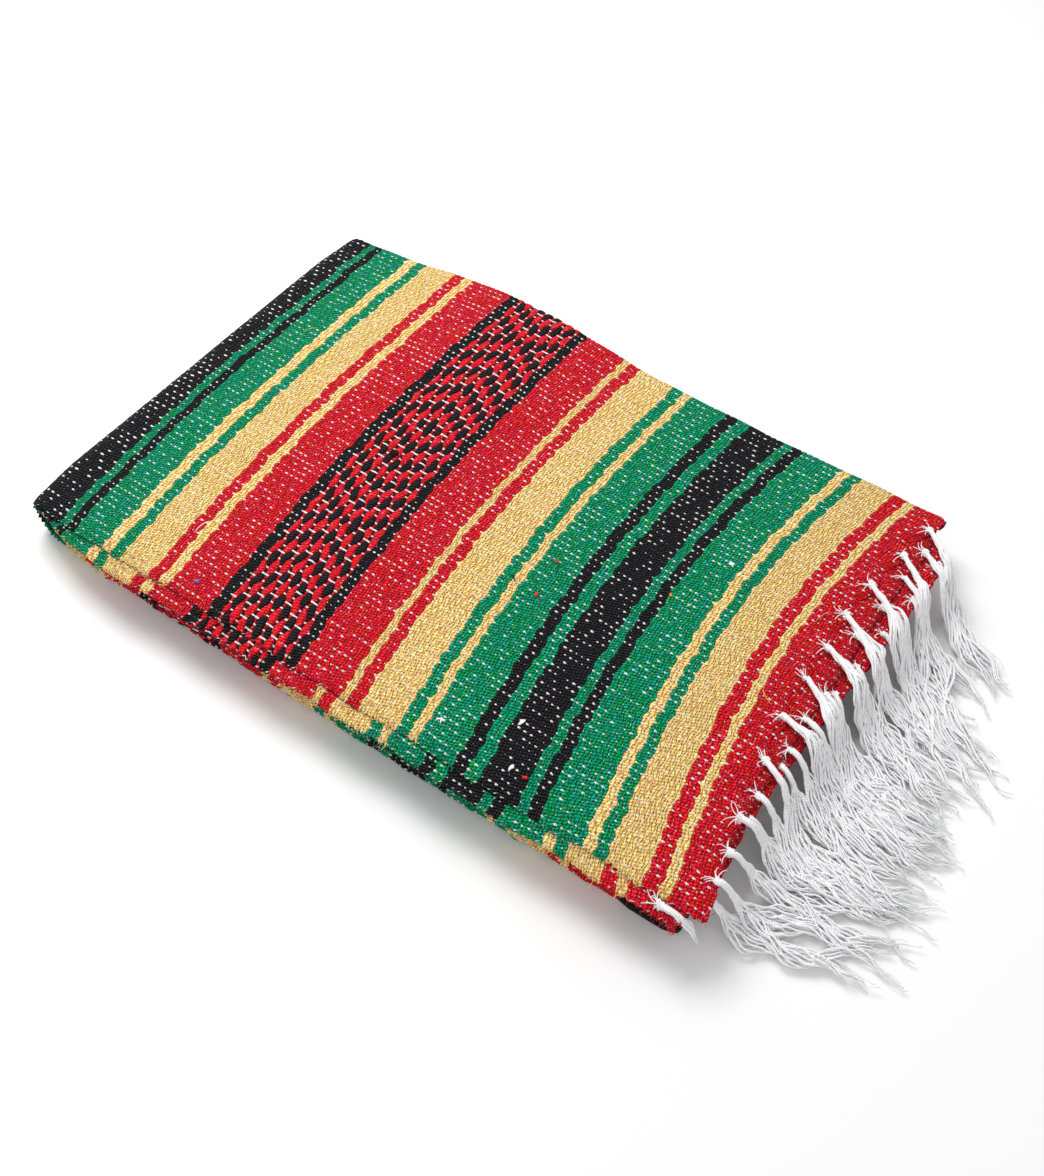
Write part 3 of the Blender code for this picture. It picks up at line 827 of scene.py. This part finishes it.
def innerOutline():
    at = innerLayers
    top, under, radius = lie["height"] - at["depth"], at["depth"], half - at["depth"]
    step = at["pickStep"]
    alongTop = [(u, top) for u in np.arange(at["topEnd"], lie["foldU"], -step)]
    turns = np.radians(np.linspace(90, 270, at["leftFoldSteps"]))
    fold = [(lie["foldU"] + radius * math.cos(a), half + radius * math.sin(a)) for a in turns]
    alongUnder = [(u, under) for u in np.arange(lie["foldU"] + step, at["underEnd"] + at["underGap"], step)]
    stepDown = [(at["underEnd"] + at["stepDownGap"], 0.0), (at["middleFoldU"] - at["restShort"], 0.0)]
    r = at["middleFoldRadius"]
    turns = np.radians(np.linspace(-90, 90, at["middleFoldSteps"]))
    middleFold = [(at["middleFoldU"] + r * math.cos(a), r * (1 + math.sin(a))) for a in turns]
    outline = np.array(alongTop + fold + alongUnder + stepDown + middleFold + list(at["cutEnds"]))
    footU = np.clip(outline[:, 0], lie["foldU"], at["middleFoldU"] - at["footShort"])
    foot = np.stack([footU, np.full(len(outline), half)], -1)
    return outline, foot


def buildInnerLayers():
    at = innerLayers
    rows = []  # depth, v, drawn back or not, arc length in millimetres, lobe
    length = 0.0
    for lobe, (first, last, peak) in reversed(list(enumerate(at["nearLobes"]))):
        count = at["nearSteps"]
        for i in range(count + 1):
            a = math.pi * i / count
            depth = 0.5 * (first + last) + 0.5 * (last - first) * math.cos(a)
            v = at["nearCrease"] + (peak - at["nearCrease"]) * math.sin(a) ** 0.7
            rows.append((depth, v, 1.0, length, lobe))
            length += 0.5 * math.hypot(last - first, 2 * (peak - at["nearCrease"])) * math.pi / count * 0.6
    for v in np.linspace(*at["body"]):
        rows.append((at["depth"], v, 0.0, length + v, 0))
    for lobe, (first, last, peak) in enumerate(at["farLobes"]):
        for i in range(at["farSteps"] + 1):
            a = math.pi * (1.0 - i / at["farSteps"])
            depth = 0.5 * (first + last) + 0.5 * (last - first) * math.cos(a)
            v = at["farCrease"] + (peak - at["farCrease"]) * math.sin(a) ** 0.7
            rows.append((depth, v, 0.0, length + 310.0 + i * 1.2, len(at["nearLobes"]) + lobe))
    depth, v, draws, arc, lobe = (np.array(c, float) for c in zip(*rows))
    outline, foot = innerOutline()
    outline = np.concatenate([outline, outline[:1]])
    foot = np.concatenate([foot, foot[:1]])
    share = ((half - depth) / (half - at["depth"]))[None, :, None]
    uw = foot[:, None] * (1 - share) + outline[:, None] * share
    wobble = 0.35 * np.sin(uw[..., 0] * 0.16 + lobe * 2.0) + 0.3 * np.sin(uw[..., 0] * 0.41 + lobe * 4.0)
    atCorner = at["cornerDraw"] * (1.0 - smooth((uw[..., 0] + half) / at["cornerOver"]))
    vv = v + draws * (at["drawBack"] * (1.0 - uw[..., 1] / lie["height"]) + wobble + atCorner)
    points = settle(uw[..., 0], vv, uw[..., 1])
    points[..., 2] = np.maximum(points[..., 2], 0.0)
    picks = np.interp(uw[..., 0], *zip(*at["picks"]))
    rowShift = [(0.0, at["lobeShift"][int(one)]) for one in lobe[:-1]]
    return gridPiece("innerLayersCloth", points, arc / weave["warp"], picks, cloth, rowShift)


innerCloth = buildInnerLayers()
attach(innerCloth, "root")
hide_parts("folded_core")
print("inner layers:", len(innerCloth.data.polygons), "faces")

# Undyed cotton warp ends: soft matt white yarn, slightly grey where it lies in its own shade.
fringeYarn = {
    "colour": "#FFFFFF",
    "shade": "#F0F0F4",
    "finish": {"Roughness": 0.95, "Specular IOR Level": 0.2, "Sheen Weight": 0.15},
    "twist": 0.33,  # turns for each millimetre
    "relief": 0.0002,
}


def warpYarn():
    made, tree, shader = startMaterial("undyed cotton warp yarn", fringeYarn["finish"])
    uv = addNode(tree, "ShaderNodeUVMap", uv_map="alongAndAround").outputs["UV"]
    split = addNode(tree, "ShaderNodeSeparateXYZ", {0: uv})
    grown = addNode(tree, "ShaderNodeTexNoise", {"Vector": uv, "Scale": 0.35, "Detail": 2.0}).outputs[0]
    value = {"along": split.outputs["X"], "around": split.outputs["Y"], "grown": grown}
    twistSteps = (
        ("turned", "MULTIPLY_ADD", "along", fringeYarn["twist"], "around"),
        ("phase", "MULTIPLY", "turned", 4 * math.pi),
        ("twist", "SINE", "phase"),
        ("mixed", "MULTIPLY_ADD", "twist", 0.12, "grown"),
    )
    addSteps(tree, value, twistSteps)
    share = addNode(tree, "ShaderNodeMapRange", {0: value["mixed"], 1: 0.25, 2: 0.6, 3: 0.0, 4: 1.0}).outputs[0]
    colour = addNode(
        tree, "ShaderNodeMix", {0: share, 6: linear(fringeYarn["shade"]), 7: linear(fringeYarn["colour"])},
        data_type="RGBA",
    ).outputs[2]
    tree.links.new(colour, shader.inputs["Base Color"])
    fine = {"Height": value["twist"], "Strength": 0.6, "Distance": fringeYarn["relief"]}
    bump = addNode(tree, "ShaderNodeBump", fine)
    tree.links.new(bump.outputs["Normal"], shader.inputs["Normal"])
    return made


yarn = warpYarn()


def tubes(name, paths, radii, sides, finish, mapName="alongAndAround", dyedAt=None):
    # round strands swept along their paths, all in one piece; dyedAt gives each one place on the map
    vertices, faces, mapped = [], [], []
    ring = 2 * np.pi * np.arange(sides) / sides
    count = 0
    for path, radius in zip(paths, radii):
        path = np.asarray(path)
        steps = len(path)
        along = np.gradient(path, axis=0)
        along /= np.maximum(np.linalg.norm(along, axis=1, keepdims=True), 1e-9)
        side = np.cross(along, (0.0, 0.0, 1.0))
        flat = np.linalg.norm(side, axis=1) < 0.05
        side[flat] = (0.0, 1.0, 0.0)
        side /= np.linalg.norm(side, axis=1, keepdims=True)
        up = np.cross(side, along)
        radius = np.broadcast_to(radius, steps)[:, None, None]
        around = side[:, None] * np.cos(ring)[None, :, None] + up[:, None] * np.sin(ring)[None, :, None]
        vertices.append((path[:, None] + around * radius).reshape(-1, 3))
        length = np.concatenate([[0], np.cumsum(np.linalg.norm(np.diff(path, axis=0), axis=1))]) * 1000
        i, j = np.meshgrid(np.arange(steps - 1), np.arange(sides), indexing="ij")
        i, j = i.ravel(), j.ravel()
        nextJ = (j + 1) % sides
        quad = np.stack([i * sides + j, i * sides + nextJ, (i + 1) * sides + nextJ, (i + 1) * sides + j], -1)
        faces += (quad + count).tolist()
        turn, turnNext = j / sides, (j + 1) / sides
        mapped.append(
            np.stack(
                [np.stack([length[i], turn], -1), np.stack([length[i], turnNext], -1),
                 np.stack([length[i + 1], turnNext], -1), np.stack([length[i + 1], turn], -1)], 1
            ).reshape(-1, 2)
        )
        for end, order in ((0, -1), (steps - 1, 1)):
            cap = (count + end * sides + np.arange(sides))[::order]
            faces.append(cap.tolist())
            mapped.append(np.full((sides, 2), length[end]))
        count += steps * sides
    if dyedAt is not None:
        corners = [(len(path) - 1) * sides * 4 + 2 * sides for path in paths]
        mapped = [np.repeat(np.array(dyedAt, float), corners, axis=0)]
    mesh = bpy.data.meshes.new(name)
    mesh.from_pydata(np.concatenate(vertices), [], faces)
    layer = mesh.uv_layers.new(name=mapName)
    layer.data.foreach_set("uv", np.concatenate(mapped).astype(np.float32).ravel())
    mesh.shade_smooth()
    mesh.materials.append(finish)
    made = bpy.data.objects.new(name, mesh)
    bpy.context.collection.objects.link(made)
    return made


def clothEnd(v):
    return np.interp(v, *zip(*thirdEnd["end"]))


def strandPath(at, length, w, lay, heading, turnAfter, waves):
    # walks along one strand: over the cloth, down its end, and out over the floor
    x, v = at
    z = w
    pitch = 0.0
    step = fringes["step"]
    path = [(x, v, z)]
    first, last = heading
    for i in range(int(length / step)):
        gone = i * step
        grown = min(1.0, gone / fringes["wavesOver"])
        share = float(smooth((gone - turnAfter[0]) / turnAfter[1]))
        course = first * (1.0 - share) + last * share
        course += sum(reach * math.sin(gone * rate + phase) for reach, rate, phase in waves) * grown
        past = x - float(clothEnd(min(max(v, -10.0), 325.0)))
        falling = float(smooth((past + fringes["fallFrom"]) / fringes["fallOver"]))
        aim = -fringes["fall"] * falling * float(smooth((z - lay) / fringes["landOver"])) ** 0.6
        pitch += (aim - pitch) * 0.5
        x += step * math.cos(pitch) * math.cos(course)
        v += step * math.cos(pitch) * math.sin(course)
        z = max(z + step * math.sin(pitch), lay)
        path.append((x, v, z))
    return np.array(path)


def tassel(rng, knotU, knotV, w, length):
    # a short tight cord that opens into a few locks, each drawn together again at its tip
    first = float(np.interp(knotV, *zip(*fringes["firstHeading"]))) + rng.uniform(-0.18, 0.18)
    last = float(np.interp(knotV, *zip(*fringes["lastHeading"]))) + rng.uniform(-0.10, 0.10)
    paths, radii = [], []
    cord = rng.uniform(*fringes["cord"])
    inward = float(np.clip((knotV + 30.0) / 110.0, 0.2, 1.0))  # near the corner it turns at once
    turnAfter = (rng.uniform(22.0, 42.0) * inward, 55.0 * inward)
    whole = rng.uniform(*length) * (1.0 if knotV > 0 else fringes["cornerShare"])
    whole += sum(gain * float(smooth((knotV - start) / over)) for gain, start, over in fringes["gains"])
    for lock in range(fringes["locks"]):
        side = (lock + 0.5) / fringes["locks"] * 2.0 - 1.0
        lockLast = last + side * fringes["lockFan"] + rng.uniform(-0.12, 0.12)
        lockLength = whole * rng.uniform(0.76, 1.07)
        lockWaves = [(rng.uniform(0.14, 0.4), rng.uniform(0.07, 0.18), rng.uniform(0, 6.3)) for _ in range(2)]
        lockBends = (rng.uniform(0.3, 0.5), rng.uniform(0, 6.3))  # the yarns of a lock bend together
        lay = fringes["radius"] + 0.2 + rng.uniform(0.0, 3.0)
        for strand in range(fringes["strands"]):
            own = [(rng.choice((0.03, 0.04, 0.07, 0.2)), rng.uniform(0.1, 0.28), rng.uniform(0, 6.3))]
            turn = 2 * math.pi * (strand + rng.uniform(-0.3, 0.3)) / fringes["strands"] + lock
            ring = rng.choice((0.5, 1.0, 1.0))
            long = lockLength * rng.uniform(0.86, 1.02)
            path = strandPath((knotU, knotV), long, w, lay, (first, lockLast), turnAfter, lockWaves + own)
            gone = np.arange(len(path)) * fringes["step"]
            t = gone / gone[-1]
            opened = smooth((gone - cord) / fringes["openOver"])
            gathered = 1.0 - fringes["tip"] * smooth((t - 0.6) / 0.4)
            wide = (fringes["wide"][0] + opened * fringes["wide"][1]) * gathered * ring
            high = (fringes["high"][0] + opened * fringes["high"][1]) * gathered * ring
            apart = side * fringes["lockApart"] * opened * gathered
            along = gone * 0.1 + turn
            crimp = rng.uniform(*fringes["crimp"]) * smooth(gone / 14.0)
            bends = gone * lockBends[0] + lockBends[1] + rng.uniform(-0.45, 0.45)
            path[:, 1] += wide * np.cos(along) + apart + crimp * np.sin(bends)
            path[:, 2] += high * (1.0 + np.sin(along)) + 0.5 * crimp * (1.0 + np.cos(bends))
            path[:, 2] = np.maximum(path[:, 2], fringes["radius"])
            paths.append(settle(unbow(path[:, 0], path[:, 1]), path[:, 1], path[:, 2]))
            thinner = 1.0 - 0.65 * smooth((t - 0.75) / 0.25)
            radii.append(fringes["radius"] * mm * rng.uniform(0.8, 1.15) * thinner)
    return paths, radii


def knot(rng, knotU, knotV, w):
    # a lump of wound yarn with a few short cut ends that stand out towards the cloth
    paths, radii = [], []
    a = np.linspace(0.0, 2 * math.pi * fringes["knotTurns"], 30)
    wind = fringes["knotWind"] + 0.3 * np.sin(a * 1.3 + rng.uniform(0, 6))
    x = knotU - 0.4 + 1.5 * (a / a[-1] - 0.5) * 2.0
    v = knotV + wind * np.cos(a + rng.uniform(0, 6))
    z = w + 0.4 + 0.9 * wind * np.sin(a)
    paths.append(settle(unbow(x, v), v, z))
    radii.append(fringes["knotRadius"] * mm)
    for _ in range(fringes["strays"]):
        t = np.linspace(0.0, 1.0, 7)
        turn = rng.uniform(2.0, 4.3)
        reach = rng.uniform(4.0, 10.0)
        curl = rng.uniform(-0.8, 0.8)
        x = knotU - 1.0 + reach * t * np.cos(turn + curl * t)
        v = knotV + reach * t * np.sin(turn + curl * t)
        z = w + 0.5 + rng.uniform(0.5, 3.5) * t * (1.3 - t)
        paths.append(settle(unbow(x, v), v, z))
        radii.append(fringes["strayRadius"] * mm * (1.0 - 0.5 * t))
    return paths, radii


rng = random.Random(27)
for name, row in fringeRows.items():
    paths, radii = [], []
    for knotU, knotV in row["knots"]:
        more, moreRadii = tassel(rng, knotU, knotV, row["w"], row["length"])
        paths += more
        radii += moreRadii
        more, moreRadii = knot(rng, knotU, knotV, row["w"])
        paths += more
        radii += moreRadii
    piece = tubes(name, paths, radii, fringes["sides"], yarn)
    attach(piece, "root")
    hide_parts(row["node"])
    print(name, len(piece.data.polygons), "faces")

# Fibre worked loose from the yarn, most of it at the selvedges and the fringed end
looseFibre = {
    "top": {"selvedge": 560, "end": 200, "face": 420},
    "second": {"selvedge": 560, "end": 80},
    "length": (1.3, 3.8),
    "radius": 0.13,
    "selvedgePoints": 7,  # how many points in from the near edge it grows
    "endPoints": 7,
    "farPoints": 10,  # and none on this many points at the far side
    "lean": {"selvedge": (0.0, -0.7, 0.0), "end": (0.7, 0.0, 0.0), "face": (0.0, 0.0, 0.0)},
    "lastPick": 226.0,  # none round the left fold
    "lowest": 0.0004,  # in metres: none lies under the floor
}


def fibreAt(rng, point, outward, lean, reach, rise):
    # one short bent fibre that leaves the cloth and comes down again
    side = np.cross(outward, (rng.uniform(-1, 1), rng.uniform(-1, 1), 0.2)) + lean
    side /= np.linalg.norm(side)
    bend = np.cross(outward, side) * rng.uniform(-0.7, 0.7)
    t = np.linspace(0.0, 1.0, 6)[:, None]
    path = point + reach * mm * (side * t + bend * t * t + outward * rise * t * (1.15 - t))
    path[:, 2] = np.maximum(path[:, 2], looseFibre["lowest"])
    return path


def looseFibres(rng):
    at = looseFibre
    paths, dyes = [], []
    for layer in ("top", "second"):
        points, warps, picks = lain[layer]
        normals = gridNormals(points)
        lastRow = int(np.searchsorted(picks, at["lastPick"]))
        lastColumn = len(warps) - at["farPoints"]
        for where, count in at[layer].items():
            lean = np.array(at["lean"][where])
            for _ in range(count):
                i = rng.randrange(at["endPoints"] if where == "end" else lastRow)
                j = rng.randrange(2, at["selvedgePoints"]) if where == "selvedge" else rng.randrange(5, lastColumn)
                reach = rng.uniform(*at["length"])
                paths.append(fibreAt(rng, points[i, j], normals[i, j], lean, reach, rng.uniform(0.5, 1.6)))
                dyes.append((math.floor(warps[j]) + 0.5, math.floor(picks[i]) + 0.5))
    radii = [at["radius"] * mm] * len(paths)
    return tubes("looseFibres", paths, radii, 3, cloth, "warpAndPick", dyes)


fibres = looseFibres(random.Random(41))
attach(fibres, "root")
print("loose fibre:", len(fibres.data.polygons), "faces")

# Waste fibre spun into the yarn or caught on it: x and v as it lies, colour, length, radius, strands
caughtTufts = (
    (166, 162, "#1E1C1F", 5.5, 1.1, 6), (131, 10, "#5A8CD8", 3.8, 0.65, 2), (305, 122, "#E0483C", 3.4, 0.95, 3),
    (302, 151, "#8A6A4A", 4.8, 0.85, 3), (371, 15, "#E23A30", 3.0, 0.7, 2), (373, 170, "#F09A48", 3.0, 0.6, 2),
    (386, 170, "#A8E0A0", 3.0, 0.6, 2), (349, 42, "#FFFFFF", 4.6, 0.7, 3), (311, 18, "#FFFFFF", 5.0, 0.5, 3),
    (361, 14, "#FFFFFF", 4.2, 0.75, 3), (393, 211, "#FFFFFF", 4.2, 0.75, 3), (455, 202, "#E9A86A", 14.0, 0.22, 1),
    (452, 141, "#F0C83A", 11.0, 0.28, 1), (103, 37, "#FFFFFF", 11.0, 0.26, 1), (44, 229, "#D9B24A", 14.0, 0.24, 1),
    (290, 123, "#2E2418", 8.0, 0.42, 1),
)
caughtFibre = {
    "lastPick": 262.0,  # as far as the left fold
    "lift": 0.0006,
    "rise": 0.35,
    "taper": (0.4, 0.9, 1.0, 1.0, 0.9, 0.3),
    "lumps": 1800.0,  # for each metre
    "relief": 0.0004,
    "finish": {"Roughness": 0.92, "Specular IOR Level": 0.08},
}


def wasteFibre():
    # dull acrylic and wool waste in any colour: small soft specks that break up the stripes
    made, tree, shader = startMaterial("mixed acrylic waste fibre", caughtFibre["finish"])
    uv = addNode(tree, "ShaderNodeUVMap", uv_map="whichFibre").outputs["UV"]
    split = addNode(tree, "ShaderNodeSeparateXYZ", {0: uv})
    ramp = addNode(tree, "ShaderNodeValToRGB", {0: split.outputs["X"]})
    ramp.color_ramp.interpolation = "CONSTANT"
    for i, tuft in enumerate(caughtTufts):
        stop = ramp.color_ramp.elements[i] if i < 2 else ramp.color_ramp.elements.new(0.999)
        stop.position = i / len(caughtTufts)
        stop.color = linear(tuft[2])
    tree.links.new(ramp.outputs[0], shader.inputs["Base Color"])
    lumpAt = addNode(tree, "ShaderNodeTexCoord").outputs["Object"]
    lumpy = {"Vector": lumpAt, "Scale": caughtFibre["lumps"], "Detail": 2.0}
    lumps = addNode(tree, "ShaderNodeTexNoise", lumpy).outputs[0]
    bump = addNode(tree, "ShaderNodeBump", {"Height": lumps, "Strength": 0.8, "Distance": caughtFibre["relief"]})
    tree.links.new(bump.outputs["Normal"], shader.inputs["Normal"])
    return made


def caughtFibres(rng):
    at = caughtFibre
    points, _, picks = lain["top"]
    points = points[: int(np.searchsorted(picks, at["lastPick"]))]
    normals = gridNormals(points)
    paths, radii, dyes = [], [], []
    for number, (x, v, _, length, radius, strands) in enumerate(caughtTufts):
        target = np.array((x - lie["centreU"], v - lie["centreV"])) * mm
        off = np.linalg.norm(points[..., :2] - target, axis=-1)
        i, j = np.unravel_index(int(np.argmin(off)), off.shape)
        for _ in range(strands):
            start = points[i, j] + normals[i, j] * radius * at["lift"]
            path = fibreAt(rng, start, normals[i, j], np.zeros(3), length * rng.uniform(0.7, 1.1), at["rise"])
            paths.append(path - (path[-1] - path[0]) * 0.5 * (strands > 1))  # a tuft is centred on its place
            radii.append(radius * mm * np.array(at["taper"]))
            dyes.append(((number + 0.5) / len(caughtTufts), 0.5))
    return tubes("caughtFibres", paths, radii, 5, wasteFibre(), "whichFibre", dyes)


caught = caughtFibres(random.Random(5))
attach(caught, "root")
print("caught fibre:", len(caught.data.polygons), "faces")

# Floor and light
studio = {
    "floor": {"size": 6.0, "at": (0, 0, -0.0002)},
    "paper": {"Base Color": linear("#F6F6F6"), "Roughness": 0.9},
    "sky": 0.6,
    "key": {"at": (-0.7, 0.3, 1.2), "size": 0.7, "power": 16.0},
    "fill": {"at": (0.9, -1.0, 1.2), "size": 1.4, "power": 3.0},
}
bpy.ops.mesh.primitive_plane_add(size=studio["floor"]["size"], location=studio["floor"]["at"])
floor = bpy.context.object
floor.name = "floor"
floor.data.materials.append(startMaterial("matt white paper", studio["paper"])[0])

world = bpy.data.worlds.new("studio")
world.use_nodes = True
world.node_tree.nodes["Background"].inputs["Color"].default_value = (1.0, 1.0, 1.0, 1.0)
world.node_tree.nodes["Background"].inputs["Strength"].default_value = studio["sky"]
bpy.context.scene.world = world
for name in ("key", "fill"):
    lightData = bpy.data.lights.new(name, "AREA")
    lightData.size = studio[name]["size"]
    lightData.energy = studio[name]["power"]
    light = bpy.data.objects.new(name, lightData)
    light.location = studio[name]["at"]
    bpy.context.collection.objects.link(light)
    x, y, z = -np.array(studio[name]["at"])  # towards the blanket
    light.rotation_euler = (math.atan2(math.hypot(x, y), -z), 0.0, math.atan2(-x, y))

bpy.context.scene.view_settings.view_transform = "Standard"
print("light and floor set")
